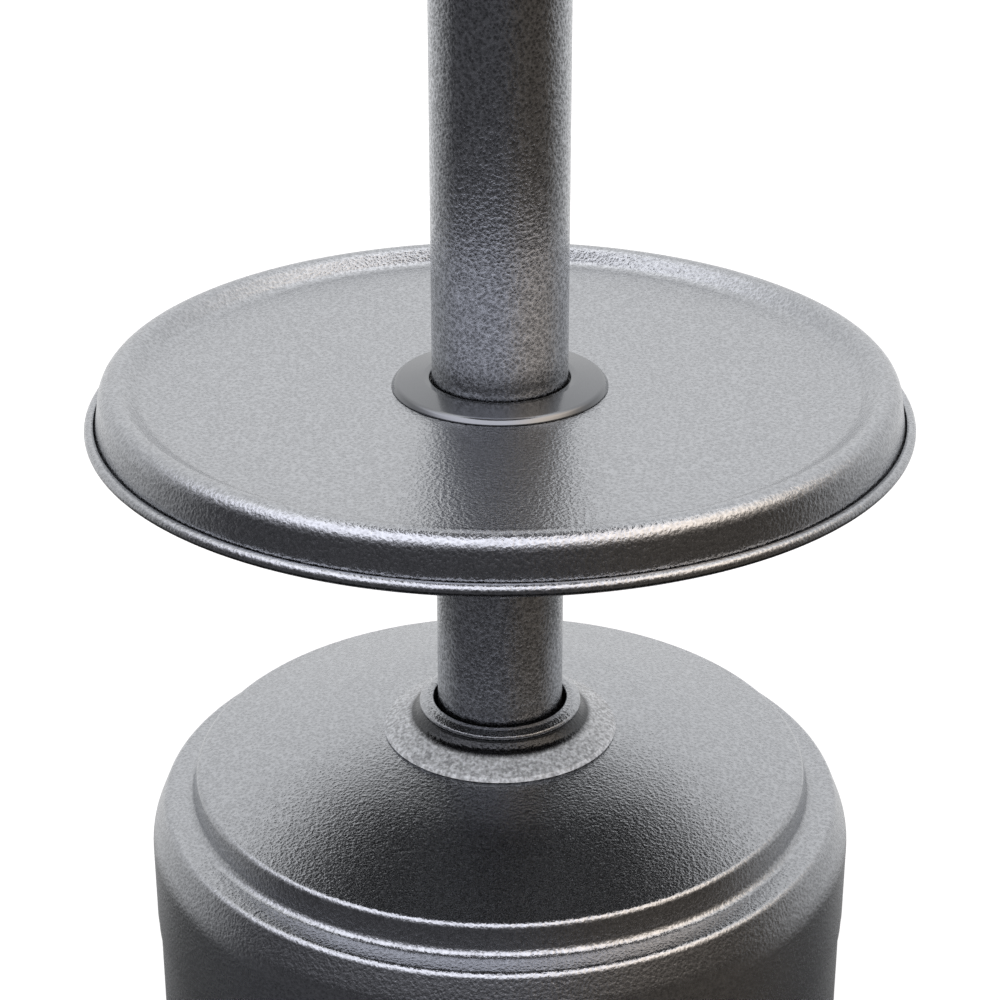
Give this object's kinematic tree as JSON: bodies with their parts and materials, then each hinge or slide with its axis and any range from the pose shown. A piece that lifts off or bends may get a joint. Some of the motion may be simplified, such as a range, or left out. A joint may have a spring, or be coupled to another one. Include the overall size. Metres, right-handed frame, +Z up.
{
  "type": "patio heater",
  "caption": "Free-standing gas patio heater: round drinks table sliding on the post, domed gas-cylinder housing that lifts, control head with emitter, round reflector, tilt wheels.",
  "frame": {"origin": "on the floor, under the axis of the post", "axes": "+Z up along the post, -Y towards the control panel, +Y towards the carrying wheels"},
  "size_m": [0.838, 0.838, 2.205],
  "materials": {
    "hammered_paint": "hammered silver-grey metallic enamel, semi-gloss",
    "satin_steel": "smooth satin metal",
    "stainless": "brushed stainless steel",
    "aluminium": "spun aluminium, satin",
    "zinc": "zinc-plated steel",
    "black_plastic": "black moulded plastic, fine texture",
    "rubber": "black rubber",
    "tyre_rubber": "black solid tyre",
    "brass": "plain brass",
    "tank_paint": "pale grey enamel"
  },
  "bodies": {
    "frame": {"base_pan": "hammered_paint", "wheel_bracket": "hammered_paint", "lower_post": "hammered_paint", "upper_post": "hammered_paint", "head_housing": "stainless", "emitter_base": "stainless", "emitter_screen": "stainless", "emitter_cap": "stainless", "burner": "stainless", "reflector": "aluminium", "regulator": "aluminium", "ballast_plate": "zinc", "wheel_axle": "zinc", "axle_cap_left": "zinc", "axle_cap_right": "zinc", "post_flange": "zinc", "strut_1": "zinc", "strut_2": "zinc", "strut_3": "zinc", "strut_foot_bolt_1": "zinc", "strut_foot_bolt_2": "zinc", "strut_foot_bolt_3": "zinc", "strut_top_bolt_1": "zinc", "strut_top_bolt_2": "zinc", "strut_top_bolt_3": "zinc", "reflector_stud_1": "zinc", "reflector_stud_2": "zinc", "reflector_stud_3": "zinc", "wing_nut_1": "zinc", "wing_nut_2": "zinc", "wing_nut_3": "zinc", "control_panel": "black_plastic", "igniter_body": "black_plastic", "gas_hose": "rubber", "foot_pad_1": "rubber", "foot_pad_2": "rubber", "foot_pad_3": "rubber", "foot_pad_4": "rubber", "tank_valve": "brass", "control_valve": "brass", "pilot_assembly": "brass", "gas_cylinder": "tank_paint"},
    "housing": {"housing_dome": "hammered_paint", "housing_wall": "hammered_paint", "dome_collar": "hammered_paint"},
    "table": {"table_top": "hammered_paint", "table_flange": "satin_steel", "table_hub": "zinc", "table_screw_1": "zinc", "table_screw_2": "zinc", "table_screw_3": "zinc"},
    "table_lock": {"table_lock_knob": "black_plastic"},
    "control_stem": {"valve_stem": "brass"},
    "control_dial": {"control_knob": "black_plastic"},
    "igniter": {"igniter_button": "rubber"},
    "cylinder_tap": {"tank_handwheel": "black_plastic"},
    "wheel_left": {"tyre_left": "tyre_rubber", "wheel_hub_left": "black_plastic"},
    "wheel_right": {"tyre_right": "tyre_rubber", "wheel_hub_right": "black_plastic"}
  },
  "joints": [
    {"name": "housing_lift", "type": "slide", "parent": "frame", "child": "housing", "axis": [0, 0, 1], "range_m": [0, 0.13]},
    {"name": "table_slide", "type": "slide", "parent": "frame", "child": "table", "axis": [0, 0, 1], "range_m": [-0.03, 0.27]},
    {"name": "table_lock_turn", "type": "hinge", "parent": "table", "child": "table_lock", "pos_m": [0, 0.065, 0.851], "axis": [0, 1, 0], "range_deg": [0, 720]},
    {"name": "control_push", "type": "slide", "parent": "frame", "child": "control_stem", "axis": [0, 1, 0], "range_m": [0, 0.004]},
    {"name": "control_turn", "type": "hinge", "parent": "control_stem", "child": "control_dial", "pos_m": [0, -0.095, 1.808], "axis": [0, -1, 0], "range_deg": [0, 210]},
    {"name": "igniter_press", "type": "slide", "parent": "frame", "child": "igniter", "axis": [0, 1, 0], "range_m": [0, 0.005]},
    {"name": "cylinder_tap_turn", "type": "hinge", "parent": "frame", "child": "cylinder_tap", "pos_m": [0, 0, 0.512], "axis": [0, 0, 1], "range_deg": [0, 540]},
    {"name": "wheel_left_spin", "type": "hinge", "parent": "frame", "child": "wheel_left", "pos_m": [-0.073, 0.277, 0.04], "axis": [1, 0, 0], "continuous": true},
    {"name": "wheel_right_spin", "type": "hinge", "parent": "frame", "child": "wheel_right", "pos_m": [0.073, 0.277, 0.04], "axis": [1, 0, 0], "continuous": true}
  ]
}
